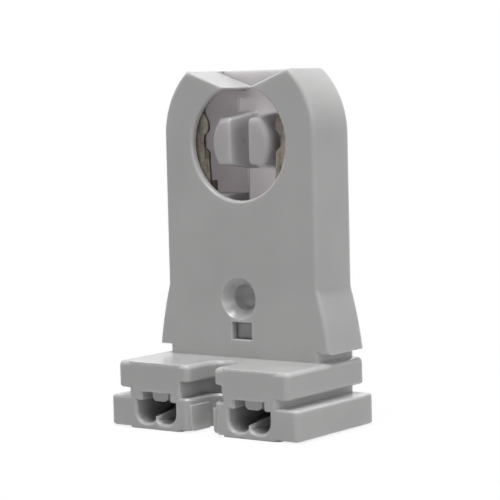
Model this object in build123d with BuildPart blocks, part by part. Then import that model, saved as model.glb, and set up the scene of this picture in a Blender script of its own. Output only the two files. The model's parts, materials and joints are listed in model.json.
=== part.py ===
from build123d import *
import os

os.makedirs("parts", exist_ok=True)

# Fluorescent lamp holder, G13, fixed centre post. Millimetres, +Z up, front faces -Y.
# Origin: centre of the overall box at the height of the underside.

# overall
body_half = 13.25           # half width of the upright body
body_t = 8.4                # body thickness, front face to back face
top_z = 50.65
block_reach = 9.95          # wiring blocks stand out this far before the body face
depth = body_t + block_reach
y_front = -depth / 2        # face of the wiring blocks
y_face = y_front + block_reach
y_back = depth / 2
edge_r = 0.6                # soft edge of the mouldings

# head
shoulder_in = 4.2           # the shoulder arcs come in this far
shoulder_drop = 9.2         # and leave the straight sides this far below the top
peak_x = body_half - shoulder_in
shoulder_z = top_z - shoulder_drop
shoulder_r = (shoulder_in ** 2 + shoulder_drop ** 2) / (2 * shoulder_in)
notch_land = 0.35
notch_x = peak_x - notch_land   # pin entry notch, half width at the top
notch_low_x = 1.9           # where the slopes run into the round opening
notch_dip = 0.1             # and this far inside it
horn_r = 0.45
rim_edge = 0.4

# lamp interface, G13
pin_pitch = 12.7
pin_d = 2.35
pin_play = 0.675
lamp_drop = 10.38
lamp_z = top_z - lamp_drop  # lamp axis
opening_r = (pin_pitch + pin_d) / 2 + pin_play
notch_low_z = lamp_z + (opening_r ** 2 - notch_low_x ** 2) ** 0.5 - notch_dip
notch_depth = top_z - notch_low_z
front_wall = 1.0
post_gap = 0.125
post_r = (pin_pitch - pin_d) / 2 - post_gap
post_up = 3.53              # flats above and below the axis, at the front end
post_down = 3.0
post_draft = 0.13           # the flats open out by this much per mm of depth
slot_play = 0.375
slot_half = pin_d / 2 + slot_play
post_in = 0.4               # post face behind the body face
post_edge = 0.85
slot_edge = 0.4
dimple_r = 0.35
dimple_in = 3.7
dimple_dz = 0.25

# skirt, sheet slots and wiring blocks
kink_z = 19.7
skirt_x = body_half + 1.85
skirt_mid_x = body_half + 1.15
skirt_mid_z = 15.05
skirt_z = 10.8
slot_h = 1.25               # slots that take the edge of the sheet
plate_z = skirt_z - slot_h  # top of the upper flange
neck_half = body_half + 0.1
neck_r = 1.0
groove_h = 1.25
groove_top = 5.75
groove_z = groove_top - groove_h
entry_x = 8.2               # middle of each pair of wire entries
bore_half = 1.85
bore_dx = 1.65
entry_half = bore_half + bore_dx
entry_wall = 1.55           # wall of the web outside the entries
web_half = entry_x + entry_half + entry_wall
groove_d = 3.2              # depth of the outer groove
low_half = web_half + groove_d  # half widths of the lower and the upper flange
up_step = 1.5
up_half = low_half - up_step
foot_step = 0.2             # flanges sit this much above the underside of the web
gap_half = 2.18             # gap between the two blocks
gap_end = 3.3               # its round end, before the body face
gap_y = y_face - gap_end - gap_half
in_half = 3.7               # groove on the gap side
in_z = 4.78
in_h = 2.35
corner_r = 0.8
web_r = 1.0                 # upright edges of the web, outside and at the gap
web_in_r = 0.45
mouth_r = 0.9
flange_r = 0.4
plate_r = 0.7               # rounder edge round the top of the blocks
foot_edge = 0.25
pad_h = 0.25                # raised panels on the gap walls
pad_z = 3.9
pad_in = 0.3
pad_y = y_front + pad_in
pad_corner = 0.8
pad_root = 0.8              # panel and what of it lies in the wall

# wire entries, two bores side by side in each block
bore_h = 3.4
bore_corner = 1.6
bore_low = 0.85
bore_z = bore_low + bore_h / 2
bore_edge = 0.3
bore_len = 5.0
entry_step_z = 4.0
entry_top_half = 2.5
entry_top_z = 5.35
tongue_half = 1.4
tongue_z = 3.9
tongue_in = 1.2
tongue_t = 1.6
tongue_r = 0.75
ridge_half = 0.25           # ridge between the two bores, rising inwards
ridge_in = 0.35
ridge_z = 1.85
ridge_rise = 0.65

# cover, screw hole and catch
cover_t = 1.3
wall = 1.0                  # housing wall round the cover
fit = 0.1                   # gap all round the cover
recess_z = 0.9
cover_top_x = body_half - shoulder_r + ((shoulder_r - wall) ** 2 - (top_z - shoulder_z) ** 2) ** 0.5
y_floor = y_back - cover_t  # inner face of the cover
head_t = body_t - cover_t
post_len = y_floor - y_face - post_in
post_rise = post_draft * post_len
pin_relief = 0.45           # channels for the pin tips
relief_up_half = 4.95
relief_rise = 6.5
relief_up_z = lamp_z + relief_rise
post_top_z = lamp_z + post_up + post_rise
post_foot_z = lamp_z - post_down - post_rise
relief_low_half = 3.4
relief_edge = 0.2
screw_x = -0.45             # the screw hole sits a little left of the middle
screw_z = 18.1
screw_r = 1.9
sink_r = 3.03
sink_d = 1.6
win_half = 1.8
win_z0 = 12.2
win_h = 2.5
catch_gap = 0.08
catch_half = win_half - 0.3
catch_in = 1.1
nose_r = 0.4

# contacts and wire clamps
strip_t = 0.4
contact_fit = 0.06
hump = pin_pitch / 2 - 0.45  # the blade's edge holds the pin in a dip between two humps
dip = pin_pitch / 2 + 0.45
tip_x = hump + 1.0
side_up = 3.4
blade_up = 4.45             # tip of the blade above the lamp axis
side_below = 5.6            # the side strip ends this far below the lamp axis
pin_run = 1.475             # from a turned pin to the side strip
side_x = (pin_pitch + pin_d) / 2 + pin_run
channel_half = side_x + strip_t + 0.1   # channels of the strips
cavity_share = 0.4          # of the way from the channels to the sides of the body
cavity_half = channel_half + cavity_share * (body_half - channel_half)
post_room = 4.37            # free height below the post
cavity_z = lamp_z - post_down - post_room
roof_t = 1.1                # roof between the cavity and the notch slopes
roof_x = notch_x - 1.3
roof_z = top_z - roof_t - notch_depth * (notch_x - roof_x) / (notch_x - notch_low_x)
roof_low_z = notch_low_z - roof_t
roof_side_up = 5.6
roof_side_z = shoulder_z + roof_side_up
floor_half = 6.0
floor_under = 0.5
floor_low = lamp_z - opening_r - floor_under
floor_ramp = 1.1
blade_y = y_face + front_wall + contact_fit
side_drop = 6.95
side_low = cavity_z - side_drop
leg_w = 2.5
leg_in = side_x + strip_t - leg_w
leg_gap = 0.08              # leg to cover
leg_y = y_floor - leg_gap - strip_t
leg_drop = 1.95
leg_top = cavity_z - leg_drop
tab_z = 4.2                 # underside of the terminal tab
tab_half = 3.25
tab_setback = 6.0
tab_y = y_front + tab_setback
pocket_half = entry_half
pocket_z = 0.9
pocket_top = entry_top_z
pocket_y = y_front + bore_len
clamp_t = 0.3
clamp_half = 1.25
clamp_setback = 5.4
clamp_y = y_front + clamp_setback
leaf_run = 5.4
hollow_gap = 4.15           # pocket in the upright: above the screw, below the cavity
hollow_rib = 1.55
hollow_low = screw_z + hollow_gap
hollow_top = cavity_z - hollow_rib
hollow_half = 5.5
hollow_wall = 1.5


# Housing, from the web and the flanges of the two blocks up to the head
with BuildPart() as web:
    with BuildSketch(Plane.XY):
        Rectangle(2 * web_half, depth)
        with Locations((0, y_front)):
            Rectangle(2 * in_half, 2 * (gap_y - y_front), mode=Mode.SUBTRACT)
        with Locations((0, gap_y)):
            Circle(in_half, mode=Mode.SUBTRACT)
    extrude(amount=plate_z)
    upright = web.edges().filter_by(Axis.Z).filter_by(lambda e: e.center().Y < y_front + 0.01)
    fillet(upright.filter_by(lambda e: abs(e.center().X) > web_half - 0.1), radius=web_r)
    upright = web.edges().filter_by(Axis.Z).filter_by(lambda e: e.center().Y < y_front + 0.01)
    fillet(upright.filter_by(lambda e: abs(e.center().X) < in_half + 0.1), radius=web_in_r)

with BuildPart() as lower_flange:
    with BuildSketch(Plane.XY.offset(foot_step)):
        Rectangle(2 * low_half, depth)
        with Locations((0, y_front)):
            Rectangle(2 * in_half, 2 * (gap_y - y_front), mode=Mode.SUBTRACT)
        with Locations((0, gap_y)):
            Circle(in_half, mode=Mode.SUBTRACT)
    extrude(amount=groove_z - foot_step)
    outer = lower_flange.edges().filter_by(Axis.Z).filter_by(lambda e: abs(e.center().X) > low_half - 0.1)
    fillet(outer.filter_by(lambda e: e.center().Y < 0), radius=corner_r)
    rims = lower_flange.edges().filter_by(lambda e: abs(e.center().X) > in_half + 1)
    rims = rims.filter_by(lambda e: e.center().Y < y_back - 0.01)
    fillet(rims.group_by(Axis.Z)[-1], radius=flange_r)
    chamfer(rims.group_by(Axis.Z)[0], length=foot_edge)

with BuildPart() as lower_inner:
    with BuildSketch(Plane.XY.offset(foot_step)):
        Rectangle(2 * (in_half + 0.6), depth)
        with Locations((0, y_front)):
            Rectangle(2 * gap_half, 2 * (gap_y - y_front), mode=Mode.SUBTRACT)
        with Locations((0, gap_y)):
            Circle(gap_half, mode=Mode.SUBTRACT)
    extrude(amount=in_z - foot_step)
    mouth = lower_inner.edges().filter_by(Axis.Z).filter_by(lambda e: abs(e.center().X) < gap_half + 0.1)
    fillet(mouth.filter_by(lambda e: e.center().Y < y_front + 0.1), radius=mouth_r)
    rims = lower_inner.edges().filter_by(lambda e: abs(e.center().X) < in_half and e.center().Y < y_face - 1)
    chamfer(rims.group_by(Axis.Z)[-1], length=foot_edge)
    chamfer(rims.group_by(Axis.Z)[0], length=foot_edge)

with BuildPart() as upper_inner:
    with BuildSketch(Plane.XY.offset(in_z + in_h)):
        Rectangle(2 * (in_half + 0.6), depth)
        with Locations((0, y_front)):
            Rectangle(2 * gap_half, 2 * (gap_y - y_front), mode=Mode.SUBTRACT)
        with Locations((0, gap_y)):
            Circle(gap_half, mode=Mode.SUBTRACT)
    extrude(amount=plate_z - in_z - in_h)
    mouth = upper_inner.edges().filter_by(Axis.Z).filter_by(lambda e: abs(e.center().X) < gap_half + 0.1)
    fillet(mouth.filter_by(lambda e: e.center().Y < y_front + 0.1), radius=mouth_r)
    rims = upper_inner.edges().filter_by(lambda e: abs(e.center().X) < in_half and e.center().Y < y_face - 1)
    fillet(rims.group_by(Axis.Z)[-1], radius=plate_r)
    chamfer(rims.group_by(Axis.Z)[0], length=foot_edge)

with BuildPart() as upper_flange:
    with BuildSketch(Plane.XY.offset(groove_top)):
        Rectangle(2 * up_half, depth)
        with Locations((0, y_front)):
            Rectangle(2 * in_half, 2 * (gap_y - y_front), mode=Mode.SUBTRACT)
        with Locations((0, gap_y)):
            Circle(in_half, mode=Mode.SUBTRACT)
    extrude(amount=plate_z - groove_top)
    outer = upper_flange.edges().filter_by(Axis.Z).filter_by(lambda e: abs(e.center().X) > up_half - 0.1)
    fillet(outer.filter_by(lambda e: e.center().Y < 0), radius=corner_r)
    rims = upper_flange.edges().filter_by(lambda e: abs(e.center().X) > in_half + 1)
    rims = rims.filter_by(lambda e: e.center().Y < y_back - 0.01)
    fillet(rims.group_by(Axis.Z)[-1], radius=plate_r)
    chamfer(rims.group_by(Axis.Z)[0], length=foot_edge)

with BuildPart() as head:
    # its back lies in the XZ plane until it is placed
    with BuildSketch(Plane.XZ):
        with BuildLine():
            for s in (1, -1):
                ThreePointArc((s * skirt_x, skirt_z), (s * skirt_mid_x, skirt_mid_z), (s * body_half, kink_z))
                Line((s * body_half, kink_z), (s * body_half, shoulder_z))
                RadiusArc((s * body_half, shoulder_z), (s * peak_x, top_z), s * -shoulder_r)
            Line((peak_x, top_z), (-peak_x, top_z))
            Line((-skirt_x, skirt_z), (skirt_x, skirt_z))
        make_face()
    extrude(amount=head_t)
    fillet(head.faces().sort_by(Axis.Y)[0].edges(), radius=edge_r)
    with BuildSketch(Plane.XZ) as mouth_cut:
        Polygon((-notch_x, top_z), (-notch_low_x, notch_low_z), (notch_low_x, notch_low_z),
                (notch_x, top_z), (notch_x, top_z + 1), (-notch_x, top_z + 1), align=None)
        with Locations((0, lamp_z)):
            Circle(opening_r)
        horns = mouth_cut.vertices().filter_by(lambda v: abs(v.X) < 4 and v.Z > notch_low_z - 1)
        fillet(horns, radius=horn_r)
    extrude(amount=head_t, mode=Mode.SUBTRACT)
    mouth_edges = head.edges().filter_by(lambda e: abs(e.center().Y + head_t) < 0.01)
    mouth_edges = mouth_edges.filter_by(lambda e: e.center().Z > lamp_z - opening_r - rim_edge)
    fillet(mouth_edges.filter_by(lambda e: abs(e.center().X) < notch_x), radius=rim_edge)

with BuildPart() as front_housing:
    add(Pos(0, y_floor, 0) * head.part)
    # back rim, without the notch
    with BuildSketch(Plane.XZ.offset(-y_back)):
        with BuildLine():
            for s in (1, -1):
                ThreePointArc((s * skirt_x, skirt_z), (s * skirt_mid_x, skirt_mid_z), (s * body_half, kink_z))
                Line((s * body_half, kink_z), (s * body_half, shoulder_z))
                RadiusArc((s * body_half, shoulder_z), (s * peak_x, top_z), s * -shoulder_r)
            Line((peak_x, top_z), (-peak_x, top_z))
            Line((-skirt_x, skirt_z), (skirt_x, skirt_z))
        make_face()
    extrude(amount=cover_t)
    # neck between the sheet slots
    with BuildSketch(Plane.XY.offset(plate_z - 0.5)) as neck:
        with Locations((0, (y_face + y_back) / 2)):
            Rectangle(2 * neck_half, body_t)
        fillet(neck.vertices().group_by(Axis.Y)[0], radius=neck_r)
    extrude(amount=slot_h + 0.5)
    for piece in (web, lower_flange, lower_inner, upper_inner, upper_flange):
        add(piece.part)
    # raised panels on the gap walls
    for start in (gap_half - pad_h, pad_h - gap_half - pad_root):
        with BuildSketch(Plane.YZ.offset(start)) as pad:
            with Locations(((pad_y + gap_y) / 2, (foot_step + pad_z) / 2)):
                Rectangle(gap_y - pad_y, pad_z - foot_step)
            fillet(pad.vertices().group_by(Axis.Y)[0].sort_by(Axis.Z)[-1], radius=pad_corner)
        extrude(amount=pad_root)
    # recess for the cover, open at the top
    with BuildSketch(Plane.XZ.offset(-y_back)):
        with BuildLine():
            for s in (1, -1):
                Line((s * (body_half - wall), recess_z), (s * (body_half - wall), shoulder_z))
                RadiusArc((s * (body_half - wall), shoulder_z), (s * cover_top_x, top_z),
                          s * -(shoulder_r - wall))
            Line((cover_top_x, top_z), (-cover_top_x, top_z))
            Line((-(body_half - wall), recess_z), (body_half - wall, recess_z))
        make_face()
    extrude(amount=cover_t, mode=Mode.SUBTRACT)
    # lamp cavity behind the front wall
    with BuildSketch(Plane.XZ.offset(-y_floor)):
        Polygon((-cavity_half, cavity_z), (-cavity_half, roof_side_z), (-roof_x, roof_z),
                (-notch_low_x, roof_low_z), (notch_low_x, roof_low_z), (roof_x, roof_z),
                (cavity_half, roof_side_z), (cavity_half, cavity_z), align=None)
    extrude(amount=y_floor - y_face - front_wall, mode=Mode.SUBTRACT)
    # floor of the cavity, flat behind and sloped towards the opening
    with BuildSketch(Plane.YZ.offset(-floor_half)):
        Polygon((y_face + front_wall, floor_low), (y_floor, floor_low), (y_floor, cavity_z),
                (y_face + front_wall + floor_ramp, cavity_z), (y_face + front_wall, cavity_z - floor_ramp),
                align=None)
    extrude(amount=2 * floor_half)
    with BuildSketch(Plane.XZ.offset(-y_floor)):
        with Locations((0, (hollow_top + cavity_z) / 2)):
            Rectangle(2 * relief_low_half, cavity_z - hollow_top)
    extrude(amount=y_floor - y_face - front_wall, mode=Mode.SUBTRACT)
    # channels of the contact legs
    with BuildSketch(Plane.XZ.offset(-y_floor)):
        for s in (1, -1):
            with Locations((s * (side_x - 0.1 + channel_half) / 2, (side_low - 0.2 + cavity_z) / 2)):
                Rectangle(channel_half - side_x + 0.1, cavity_z - side_low + 0.4)
    extrude(amount=y_floor - y_face - front_wall, mode=Mode.SUBTRACT)
    with BuildSketch(Plane.XZ.offset(-y_floor)):
        for s in (1, -1):
            with Locations((s * (leg_in - 0.2 + channel_half) / 2, (pocket_z + leg_top + 0.3) / 2)):
                Rectangle(channel_half - leg_in + 0.2, leg_top + 0.3 - pocket_z)
    extrude(amount=y_floor - leg_y + 0.3, mode=Mode.SUBTRACT)
    # terminal pockets, open to the cover
    with BuildSketch(Plane.XZ.offset(-y_floor)):
        for s in (1, -1):
            with Locations((s * entry_x, (pocket_z + pocket_top) / 2)):
                Rectangle(2 * pocket_half, pocket_top - pocket_z)
    extrude(amount=y_floor - pocket_y, mode=Mode.SUBTRACT)
    # wire entries
    with BuildSketch(Plane.XZ.offset(-pocket_y)):
        for s in (1, -1):
            with Locations((s * entry_x - bore_dx, bore_z), (s * entry_x + bore_dx, bore_z)):
                RectangleRounded(2 * bore_half, bore_h, bore_corner)
            with Locations((s * entry_x, (bore_z + entry_step_z) / 2)):
                Rectangle(2 * entry_half, entry_step_z - bore_z)
            with Locations((s * entry_x, (bore_z + entry_top_z) / 2)):
                Rectangle(2 * entry_top_half, entry_top_z - bore_z)
    extrude(amount=pocket_y - y_front, mode=Mode.SUBTRACT)
    rims = front_housing.edges().filter_by(lambda e: abs(e.center().Y - y_front) < 0.01)
    rims = rims.filter_by(lambda e: abs(abs(e.center().X) - entry_x) < entry_half + 0.01 and e.length < entry_half)
    chamfer(rims.filter_by(lambda e: bore_low - 0.01 < e.center().Z < entry_top_z + 0.01), length=bore_edge)
    # tongues that divide each entry
    with BuildSketch(Plane.XZ.offset(-(y_front + tongue_in + tongue_t))):
        for s in (1, -1):
            with Locations((s * entry_x, (tongue_z + entry_top_z + 0.2) / 2)):
                RectangleRounded(2 * tongue_half, entry_top_z + 0.2 - tongue_z, tongue_r)
            with Locations((s * entry_x, entry_top_z)):
                Rectangle(2 * tongue_half, 2 * tongue_r)
    extrude(amount=tongue_t)
    for s in (1, -1):
        with BuildSketch(Plane.YZ.offset(s * entry_x - ridge_half)):
            Polygon((y_front + ridge_in, bore_low - 0.1), (pocket_y, bore_low - 0.1), (pocket_y, ridge_z + ridge_rise),
                    (y_front + ridge_in, ridge_z), align=None)
        extrude(amount=2 * ridge_half)
    # pocket in the upright, screw hole and window for the catch
    with BuildSketch(Plane.XZ.offset(-y_floor)):
        with Locations((0, (hollow_low + hollow_top) / 2)):
            Rectangle(2 * hollow_half, hollow_top - hollow_low)
    extrude(amount=y_floor - y_face - hollow_wall, mode=Mode.SUBTRACT)
    with BuildSketch(Plane.XZ.offset(-y_floor)):
        with Locations((screw_x, screw_z)):
            Circle(screw_r)
        with Locations((0, win_z0 + win_h / 2)):
            Rectangle(2 * win_half, win_h)
    extrude(amount=y_floor - y_face, mode=Mode.SUBTRACT)
    with Locations(Location((screw_x, y_face + sink_d / 2, screw_z), (90, 0, 0))):
        Cone(bottom_radius=screw_r, top_radius=sink_r, height=sink_d, mode=Mode.SUBTRACT)
print("housing", front_housing.part.volume, len(front_housing.part.solids()), front_housing.part.is_valid)
front_housing.part.label = "front_housing"
export_step(front_housing.part, "parts/front_housing.step")


# Back cover with the lamp post and the catch, one moulding
with BuildPart() as back_cover:
    with BuildSketch(Plane.XZ.offset(-y_floor)):
        with Locations((0, lamp_z)):
            Circle(post_r)
            Rectangle(2 * slot_half, 2 * post_r + 1, mode=Mode.SUBTRACT)
    extrude(amount=post_len)
    # flats with draft
    with BuildSketch(Plane.YZ.offset(-post_r)):
        Polygon((y_floor - post_len, lamp_z - post_down), (y_floor, lamp_z - post_down - post_rise),
                (y_floor, lamp_z + post_up + post_rise), (y_floor - post_len, lamp_z + post_up), align=None)
    extrude(amount=2 * post_r, mode=Mode.INTERSECT)
    tips = back_cover.edges().filter_by(lambda e: abs(e.center().Y - y_face - post_in) < 0.01)
    inner = tips.filter_by(lambda e: abs(abs(e.center().X) - slot_half) < 0.01)
    fillet(tips - inner, radius=post_edge)
    inner = back_cover.edges().filter_by(lambda e: abs(e.center().Y - y_face - post_in) < 0.5)
    fillet(inner.filter_by(lambda e: abs(abs(e.center().X) - slot_half) < 0.01 and e.length > 3), radius=slot_edge)
    with BuildSketch(Plane.XZ.offset(-y_back)):
        with BuildLine():
            for s in (1, -1):
                x = body_half - wall - fit
                Line((s * x, recess_z + fit), (s * x, shoulder_z))
                RadiusArc((s * x, shoulder_z), (s * (cover_top_x - fit), top_z), s * -(shoulder_r - wall - fit))
            Line((cover_top_x - fit, top_z), (-(cover_top_x - fit), top_z))
            Line((-x, recess_z + fit), (x, recess_z + fit))
        make_face()
    extrude(amount=cover_t)
    # shallow channels for the pin tips
    with BuildSketch(Plane.XZ.offset(-(y_floor + pin_relief))):
        with Locations((0, (relief_up_z + post_top_z) / 2)):
            Rectangle(2 * relief_up_half, relief_up_z - post_top_z)
        with Locations((0, (hollow_top + post_foot_z) / 2)):
            Rectangle(2 * relief_low_half, post_foot_z - hollow_top)
    extrude(amount=pin_relief, mode=Mode.SUBTRACT)
    sides = back_cover.edges().filter_by(Axis.Z).filter_by(lambda e: abs(e.center().Y - y_floor) < 0.01)
    chamfer(sides.filter_by(lambda e: abs(e.center().X) < relief_up_half + 0.1), length=relief_edge)
    # sink mark in the slot wall
    with BuildSketch(Plane.YZ.offset(-slot_half - 0.3)):
        with Locations((y_face + dimple_in, lamp_z + dimple_dz)):
            Circle(dimple_r)
    extrude(amount=0.35, mode=Mode.SUBTRACT)
    # screw hole and catch
    with BuildSketch(Plane.XZ.offset(-y_back)):
        with Locations((screw_x, screw_z)):
            Circle(screw_r)
    extrude(amount=cover_t, mode=Mode.SUBTRACT)
    with BuildSketch(Plane.XZ.offset(-y_floor)):
        with Locations((0, win_z0 + win_h / 2)):
            Rectangle(2 * catch_half, win_h - 2 * catch_gap)
    extrude(amount=y_floor - y_face - catch_in)
    nose = back_cover.edges().filter_by(lambda e: abs(e.center().Y - y_face - catch_in) < 0.01)
    fillet(nose.group_by(Axis.Z)[-1], radius=nose_r)
print("cover", back_cover.part.volume, len(back_cover.part.solids()), back_cover.part.is_valid)
back_cover.part.label = "back_cover"
export_step(back_cover.part, "parts/back_cover.step")


# Lamp contacts: a blade behind the front wall, a side strip, a leg along the cover and a terminal tab
contacts = {}
for side, s in (("left", -1), ("right", 1)):
    with BuildPart() as contact:
        with BuildSketch(Plane.XZ.offset(-(blade_y + strip_t))):
            with BuildLine():
                Spline((s * tip_x, lamp_z + blade_up), (s * (hump + 0.3), lamp_z + 3.6), (s * hump, lamp_z + 2.35),
                       (s * (hump + 0.15), lamp_z + 1.75), (s * (dip - 0.15), lamp_z + 1.15),
                       (s * dip, lamp_z + 0.2), (s * (dip - 0.1), lamp_z - 0.6),
                       (s * (hump + 0.1), lamp_z - 1.2), (s * hump, lamp_z - 2.0),
                       (s * (hump - 0.1), lamp_z - 4.5), (s * (hump - 0.2), cavity_z + 0.25))
                Line((s * (hump - 0.2), cavity_z + 0.25), (s * (side_x + strip_t), cavity_z + 0.25))
                Line((s * (side_x + strip_t), cavity_z + 0.25), (s * (side_x + strip_t), lamp_z + side_up))
                Line((s * (side_x + strip_t), lamp_z + side_up), (s * tip_x, lamp_z + blade_up))
            make_face()
        extrude(amount=strip_t)
        with BuildSketch(Plane.YZ.offset(s * side_x if s > 0 else -side_x - strip_t)):
            with Locations(((blade_y + leg_y + strip_t) / 2, (side_low + lamp_z - side_below) / 2)):
                Rectangle(leg_y + strip_t - blade_y, lamp_z - side_below - side_low)
        extrude(amount=strip_t)
        with BuildSketch(Plane.XZ.offset(-(leg_y + strip_t))):
            with Locations((s * (leg_in + side_x + strip_t) / 2, (tab_z + leg_top) / 2)):
                Rectangle(side_x + strip_t - leg_in, leg_top - tab_z)
            with Locations((s * entry_x, tab_z + strip_t / 2)):
                Rectangle(2 * tab_half, strip_t)
        extrude(amount=strip_t)
        with BuildSketch(Plane.XY.offset(tab_z)):
            with Locations((s * entry_x, (tab_y + leg_y + strip_t) / 2)):
                Rectangle(2 * tab_half, leg_y + strip_t - tab_y)
        extrude(amount=strip_t)
    contacts[side] = contact
    contact.part.label = "contact_" + side
    print(contact.part.label, contact.part.volume, len(contact.part.solids()), contact.part.is_valid)
export_step(contacts["left"].part, "parts/contact_left.step")
export_step(contacts["right"].part, "parts/contact_right.step")


# Wire clamps: a floor strip with an upright that meets the tab, and a sprung leaf for each wire
clamps = {}
clamp_top = tab_z - 0.02
for side, s in (("left", -1), ("right", 1)):
    with BuildPart() as clamp:
        with BuildSketch(Plane.XY.offset(pocket_z + 0.05)):
            with Locations((s * entry_x, (clamp_y + leg_y - 0.1) / 2)):
                Rectangle(2 * tab_half, leg_y - 0.1 - clamp_y)
        extrude(amount=clamp_t)
        with BuildSketch(Plane.XZ.offset(-(leg_y - 0.1))):
            with Locations((s * entry_x, (pocket_z + 0.05 + clamp_top) / 2)):
                Rectangle(2 * tab_half, clamp_top - pocket_z - 0.05)
        extrude(amount=clamp_t)
        for d in (-bore_dx, bore_dx):
            with BuildSketch(Plane.YZ.offset(s * entry_x + d - clamp_half)):
                with BuildLine():
                    y0, z0 = clamp_y, pocket_z + 0.05
                    y1, z1 = clamp_y + leaf_run, tab_z - 0.35
                    Polyline((y0, z0), (y0 + 0.4, z0), (y1, z1 - clamp_t), (y1 - 0.1, z1), (y0, z0 + clamp_t),
                             (y0, z0))
                make_face()
            extrude(amount=2 * clamp_half)
    clamps[side] = clamp
    clamp.part.label = "wire_clamp_" + side
    print(clamp.part.label, clamp.part.volume, len(clamp.part.solids()), clamp.part.is_valid)
export_step(clamps["left"].part, "parts/wire_clamp_left.step")
export_step(clamps["right"].part, "parts/wire_clamp_right.step")
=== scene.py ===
import json
import math
import bmesh
import bpy
from mathutils import Matrix, Vector


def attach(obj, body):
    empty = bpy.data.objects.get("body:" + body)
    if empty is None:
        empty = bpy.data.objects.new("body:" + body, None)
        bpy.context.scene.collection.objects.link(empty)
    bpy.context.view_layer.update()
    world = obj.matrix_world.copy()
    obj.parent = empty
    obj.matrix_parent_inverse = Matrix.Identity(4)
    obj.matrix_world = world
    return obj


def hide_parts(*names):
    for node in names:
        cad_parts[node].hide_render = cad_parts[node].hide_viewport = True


# Fluorescent lamp holder: pale moulding with bronze contacts. Metres, +Z up, the front faces -Y.

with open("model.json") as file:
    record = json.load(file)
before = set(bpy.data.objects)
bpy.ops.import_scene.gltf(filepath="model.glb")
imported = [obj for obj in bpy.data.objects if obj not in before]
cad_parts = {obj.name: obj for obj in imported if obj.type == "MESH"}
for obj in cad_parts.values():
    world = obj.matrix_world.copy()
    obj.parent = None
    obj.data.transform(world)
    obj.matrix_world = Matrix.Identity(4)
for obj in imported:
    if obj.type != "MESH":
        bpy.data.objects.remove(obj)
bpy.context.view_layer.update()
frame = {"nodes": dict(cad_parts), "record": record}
places = {mount["name"]: mount["pos_m"] for mount in frame["record"]["mounts"]}
print("frame loaded")


# The front of the body runs on smoothly into the neck between the sheet slots.
neckJoint = {
    "halfWidth": 0.01335,
    "cornerRadius": 0.0010,      # the neck's front corners
    "cornerSteps": 8,
    "depth": 0.0030,             # back from the body's front
    "slotHeight": 0.00125,
    "skirtEdge": 0.0006,         # rounding of the skirt's lower edge
    "overlap": 0.0001,           # down into the neck
    "weld": 0.000001,
    "sharpAngle": 28.0,          # degrees
}


def neckPlug(look):
    front = places["lamp_cap"][1]
    slotTop = places["sheet_slot_left"][2] + look["slotHeight"] / 2
    half, radius, steps = look["halfWidth"], look["cornerRadius"], look["cornerSteps"]
    outline = [(-half, front + look["depth"])]
    for side in (-1, 1):
        for step in range(steps + 1):
            turn = math.pi / 2 * step / steps
            across, back = math.cos(turn), math.sin(turn)
            if side > 0:
                across, back = back, across
            outline.append((side * (half - radius + radius * across),
                            front + radius - radius * back))
    outline.append((half, front + look["depth"]))
    bm = bmesh.new()
    base = bm.faces.new([bm.verts.new((x, y, slotTop - look["overlap"])) for x, y in outline])
    extruded = bmesh.ops.extrude_face_region(bm, geom=[base])["geom"]
    lifted = [part for part in extruded if isinstance(part, bmesh.types.BMVert)]
    bmesh.ops.translate(bm, vec=(0, 0, look["overlap"] + look["skirtEdge"]), verts=lifted)
    bmesh.ops.recalc_face_normals(bm, faces=bm.faces)
    mesh = bpy.data.meshes.new("neckPlug")
    bm.to_mesh(mesh)
    bm.free()
    return bpy.data.objects.new("neckPlug", mesh)


def applyModifiers(obj):
    bpy.context.view_layer.update()
    evaluated = obj.evaluated_get(bpy.context.evaluated_depsgraph_get())
    mesh = bpy.data.meshes.new_from_object(evaluated)
    obj.modifiers.clear()
    obj.data = mesh
    return mesh


def joinNeck(look):
    mesh = frame["nodes"]["front_housing"].data.copy()
    bm = bmesh.new()
    bm.from_mesh(mesh)
    bmesh.ops.remove_doubles(bm, verts=bm.verts, dist=look["weld"])
    bm.to_mesh(mesh)
    bm.free()
    if "custom_normal" in mesh.attributes:      # they no longer fit the welded mesh
        mesh.attributes.remove(mesh.attributes["custom_normal"])
    moulding = bpy.data.objects.new("housingMoulding", mesh)
    plug = neckPlug(look)
    for obj in (moulding, plug):
        bpy.context.collection.objects.link(obj)
    union = moulding.modifiers.new("joint", "BOOLEAN")
    union.operation = "UNION"
    union.solver = "EXACT"
    union.object = plug
    mesh = applyModifiers(moulding)
    bpy.data.objects.remove(plug)
    mesh.shade_smooth()
    mesh.set_sharp_from_angle(angle=math.radians(look["sharpAngle"]))
    flat = moulding.modifiers.new("flat", "WEIGHTED_NORMAL")
    flat.keep_sharp = True
    mesh = applyModifiers(moulding)
    print("housing joined to its neck:", len(mesh.polygons), "faces")
    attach(moulding, "root")
    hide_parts("front_housing")
    return moulding


shown = dict(frame["nodes"])
shown["front_housing"] = joinNeck(neckJoint)


class Socket:
    # one output of a node; arithmetic on it adds Math nodes
    def __init__(self, graph, output):
        self.graph = graph
        self.output = output

    def math(self, operation, first, second):
        return self.graph.node("Math", {"operation": operation}, {0: first, 1: second})

    def __add__(self, other):
        return self.math("ADD", self, other)

    def __radd__(self, other):
        return self.math("ADD", other, self)

    def __sub__(self, other):
        return self.math("SUBTRACT", self, other)

    def __rsub__(self, other):
        return self.math("SUBTRACT", other, self)

    def __mul__(self, other):
        return self.math("MULTIPLY", self, other)

    def __rmul__(self, other):
        return self.math("MULTIPLY", other, self)


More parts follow.
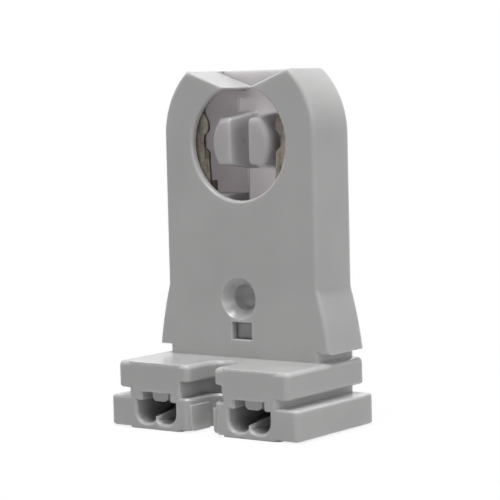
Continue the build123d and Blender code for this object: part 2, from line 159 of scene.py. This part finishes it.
class Graph:
    # the node tree of a material or the world
    def __init__(self, owner, ending="OutputMaterial"):
        owner.use_nodes = True
        self.owner = owner
        self.tree = owner.node_tree
        self.tree.nodes.clear()
        self.ending = ending

    def node(self, kind, settings=None, sockets=None, out=0):
        made = self.tree.nodes.new("ShaderNode" + kind)
        for name, value in (settings or {}).items():
            setattr(made, name, value)
        for name, value in (sockets or {}).items():
            if isinstance(value, Socket):
                self.tree.links.new(value.output, made.inputs[name])
            else:
                made.inputs[name].default_value = value
        return Socket(self, made.outputs[out] if made.outputs else None)

    def noise(self, size, detail=2.0):
        # size is one length, or one along each axis
        sizes = size if isinstance(size, tuple) else (size,) * 3
        place = self.node("TexCoord", out="Object")
        grid = self.node("VectorMath", {"operation": "DIVIDE"}, {0: place, 1: sizes})
        return self.node("TexNoise", None, {"Vector": grid, "Scale": 1.0, "Detail": detail})

    def remap(self, value, start, stop, low=0.0, high=1.0):
        return self.node("MapRange", None, {
            "Value": value, "From Min": start, "From Max": stop, "To Min": low, "To Max": high})

    def mix(self, factor, first, second):
        # the Mix node's colours are its inputs 6 and 7, and the mixed colour its output 2
        return self.node("Mix", {"data_type": "RGBA"}, {0: factor, 6: first, 7: second}, out=2)

    def bump(self, height, distance, normal=None):
        sockets = {"Height": height, "Distance": distance, "Strength": 1.0}
        if normal:
            sockets["Normal"] = normal
        return self.node("Bump", None, sockets)

    def seen(self):
        # 1 for the camera, reflections and refractions
        return (self.node("LightPath", out="Is Camera Ray")
                + self.node("LightPath", out="Is Glossy Ray")
                + self.node("LightPath", out="Is Transmission Ray"))

    def finish(self, shader):
        self.node(self.ending, None, {"Surface": shader})
        return self.owner


mouldings = {
    "front_housing": {
        "material": "housingPlastic",
        "pale": (0.620, 0.618, 0.615, 1.0),
        "grey": (0.580, 0.578, 0.576, 1.0),
        "depth": 0.0010,         # how far light travels inside
    },
    "back_cover": {
        "material": "coverPlastic",
        "pale": (0.582, 0.567, 0.576, 1.0),
        "grey": (0.552, 0.538, 0.547, 1.0),
        "depth": 0.0050,         # how far light travels inside
    },
}
mouldedSkin = {
    "cloudSize": 0.014,              # slow change of shade
    "cloudDetail": 3.0,
    "cloudShare": 0.6,               # of the change in gloss, the rest follows the waviness
    "noiseRange": (0.35, 0.65),      # noise values between which shade and gloss change
    "roughness": (0.17, 0.26),
    "flowSize": (0.006, 0.006, 0.014),
    "flowDetail": 1.0,
    "flowHeight": 0.00004,           # waviness of the moulded faces
    "grainSize": 0.00025,
    "grainHeight": 0.000006,
    "spread": (1.0, 0.94, 0.95),     # red travels a little further inside than green and blue
    "refraction": 1.50,
}


def mouldedPlastic(look, skin):
    m = Graph(bpy.data.materials.new(look["material"]))
    cloud = m.noise(skin["cloudSize"], skin["cloudDetail"])
    flow = m.noise(skin["flowSize"], skin["flowDetail"])
    grain = m.noise(skin["grainSize"])
    colour = m.mix(m.remap(cloud, *skin["noiseRange"]), look["grey"], look["pale"])
    gloss = cloud * skin["cloudShare"] + flow * (1 - skin["cloudShare"])
    rough = m.remap(gloss, *skin["noiseRange"], *skin["roughness"])
    normal = m.bump(grain, skin["grainHeight"], m.bump(flow, skin["flowHeight"]))
    return m.finish(m.node("BsdfPrincipled", None, {
        "Base Color": colour, "Roughness": rough, "Normal": normal, "IOR": skin["refraction"],
        "Subsurface Weight": 1.0, "Subsurface Scale": look["depth"],
        "Subsurface Radius": skin["spread"]}))


bronzeStrip = {
    "material": "tarnishedBronze",
    "bright": (0.275, 0.246, 0.208, 1.0),
    "dark": (0.100, 0.086, 0.075, 1.0),
    "roughness": (0.38, 0.58),
    "streakSize": (0.0009, 0.0009, 0.0060),   # tarnish along the strip
    "streakDetail": 3.0,
    "spotSize": 0.0005,
    "spotShare": 0.25,
    "noiseRange": (0.38, 0.62),               # noise values between which shade and gloss change
    "lineSize": (0.00008, 0.00008, 0.0032),   # rolling lines
    "lineHeight": 0.000004,
}
springStrip = {
    "material": "springSteel",
    "bright": (0.520, 0.520, 0.525, 1.0),
    "dark": (0.300, 0.300, 0.305, 1.0),
    "roughness": (0.30, 0.48),
    "streakSize": (0.0012, 0.0040, 0.0012),
    "streakDetail": 3.0,
    "spotSize": 0.0004,
    "spotShare": 0.15,
    "noiseRange": (0.38, 0.62),               # noise values between which shade and gloss change
    "lineSize": (0.00007, 0.0028, 0.00007),
    "lineHeight": 0.000003,
}


def rolledStrip(look):
    m = Graph(bpy.data.materials.new(look["material"]))
    streaks = m.noise(look["streakSize"], look["streakDetail"])
    spots = m.noise(look["spotSize"])
    bare = streaks * (1 - look["spotShare"]) + spots * look["spotShare"]
    colour = m.mix(m.remap(bare, *look["noiseRange"]), look["dark"], look["bright"])
    rough = m.remap(1 - bare, *look["noiseRange"], *look["roughness"])
    normal = m.bump(m.noise(look["lineSize"]), look["lineHeight"])
    return m.finish(m.node("BsdfPrincipled", None, {
        "Base Color": colour, "Roughness": rough, "Normal": normal, "Metallic": 1.0}))


def dress(name, material):
    for slot in shown[name].material_slots:
        slot.material = material


for name, look in mouldings.items():
    dress(name, mouldedPlastic(look, mouldedSkin))
bronze = rolledStrip(bronzeStrip)
steel = rolledStrip(springStrip)
for side in ("left", "right"):
    dress("contact_" + side, bronze)
    dress("wire_clamp_" + side, steel)
print("moulded plastic, bronze and spring steel assigned")


studio = {
    "white": (1.0, 1.0, 1.0, 1.0),
    "whiteStrength": 1.0,
    "floorColour": (0.55, 0.55, 0.55, 1.0),
    "floorSize": 4.0,
    "floorDrop": 0.00001,        # just under the object's feet
    "shadowShare": 0.16,         # how much of the object's shadow shows on the white floor
    "shadowReach": (0.03, 0.10),     # distances from the middle over which that fades out
    "skyStrength": 0.06,
    "aim": (0.0, 0.0, 0.03),
    "lamps": {
        "above": {"place": (0.0, 0.0, 0.60), "size": 0.30, "power": 1.95},
        "front": {"place": (0.06, -0.20, 0.55), "size": 0.30, "power": 1.25},
        "right": {"place": (0.55, -0.15, 0.30), "size": 0.30, "power": 0.64},
        "back": {"place": (-0.05, 0.50, 0.05), "size": 0.40, "power": 1.80},
    },
}


def makeFloor(look):
    bpy.ops.mesh.primitive_plane_add(size=look["floorSize"], location=(0, 0, -look["floorDrop"]))
    floor = bpy.context.object
    floor.name = "studioFloor"
    m = Graph(bpy.data.materials.new("paleFloor"))
    matte = m.node("BsdfDiffuse", None, {"Color": look["floorColour"]})
    pale = m.node("BsdfDiffuse", None, {"Color": look["white"]})
    white = m.node("Emission", None, {"Color": look["white"], "Strength": look["whiteStrength"]})
    place = m.node("TexCoord", out="Object")
    away = m.node("VectorMath", {"operation": "LENGTH"}, {0: place}, out="Value")
    whiteShare = m.remap(away, *look["shadowReach"], 1 - look["shadowShare"], 1.0)
    backdrop = m.node("MixShader", None, {0: whiteShare, 1: pale, 2: white})
    surface = m.node("MixShader", None, {0: m.seen(), 1: matte, 2: backdrop})
    floor.data.materials.append(m.finish(surface))


def makeSky(look):
    world = bpy.data.worlds.new("studio")
    bpy.context.scene.world = world
    w = Graph(world, ending="OutputWorld")
    sky = w.node("Background", None, {"Color": look["white"], "Strength": look["skyStrength"]})
    backdrop = w.node("Background", None, {
        "Color": look["white"], "Strength": look["whiteStrength"]})
    w.finish(w.node("MixShader", None, {0: w.seen(), 1: sky, 2: backdrop}))


def makeLamp(name, lamp, aim):
    data = bpy.data.lights.new(name, "AREA")
    data.size = lamp["size"]
    data.energy = lamp["power"]
    light = bpy.data.objects.new(name, data)
    bpy.context.collection.objects.link(light)
    light.location = lamp["place"]
    light.rotation_euler = (Vector(aim) - light.location).to_track_quat("-Z", "Y").to_euler()


makeFloor(studio)
makeSky(studio)
for name, lamp in studio["lamps"].items():
    makeLamp(name, lamp, studio["aim"])
bpy.context.scene.view_settings.view_transform = "Standard"
print("floor, sky and lamps set")


viewpoint = {
    "place": (0.16722, -0.22361, 0.04733),
    "target": (0.00000, 0.00322, 0.02488),
    "roll": -1.374,              # degrees
    "sensor": 36.0,
    "lens": 141.69,
    "near": 0.001,
}


def makeCamera(look):
    data = bpy.data.cameras.new("camera")
    data.sensor_width = look["sensor"]
    data.sensor_fit = "HORIZONTAL"
    data.lens = look["lens"]
    data.clip_start = look["near"]
    camera = bpy.data.objects.new("camera", data)
    bpy.context.collection.objects.link(camera)
    sight = (Vector(look["target"]) - Vector(look["place"])).to_track_quat("-Z", "Y").to_matrix()
    turn = sight @ Matrix.Rotation(math.radians(look["roll"]), 3, "Z")
    camera.matrix_world = Matrix.Translation(look["place"]) @ turn.to_4x4()
    bpy.context.scene.camera = camera


makeCamera(viewpoint)
print("camera set")
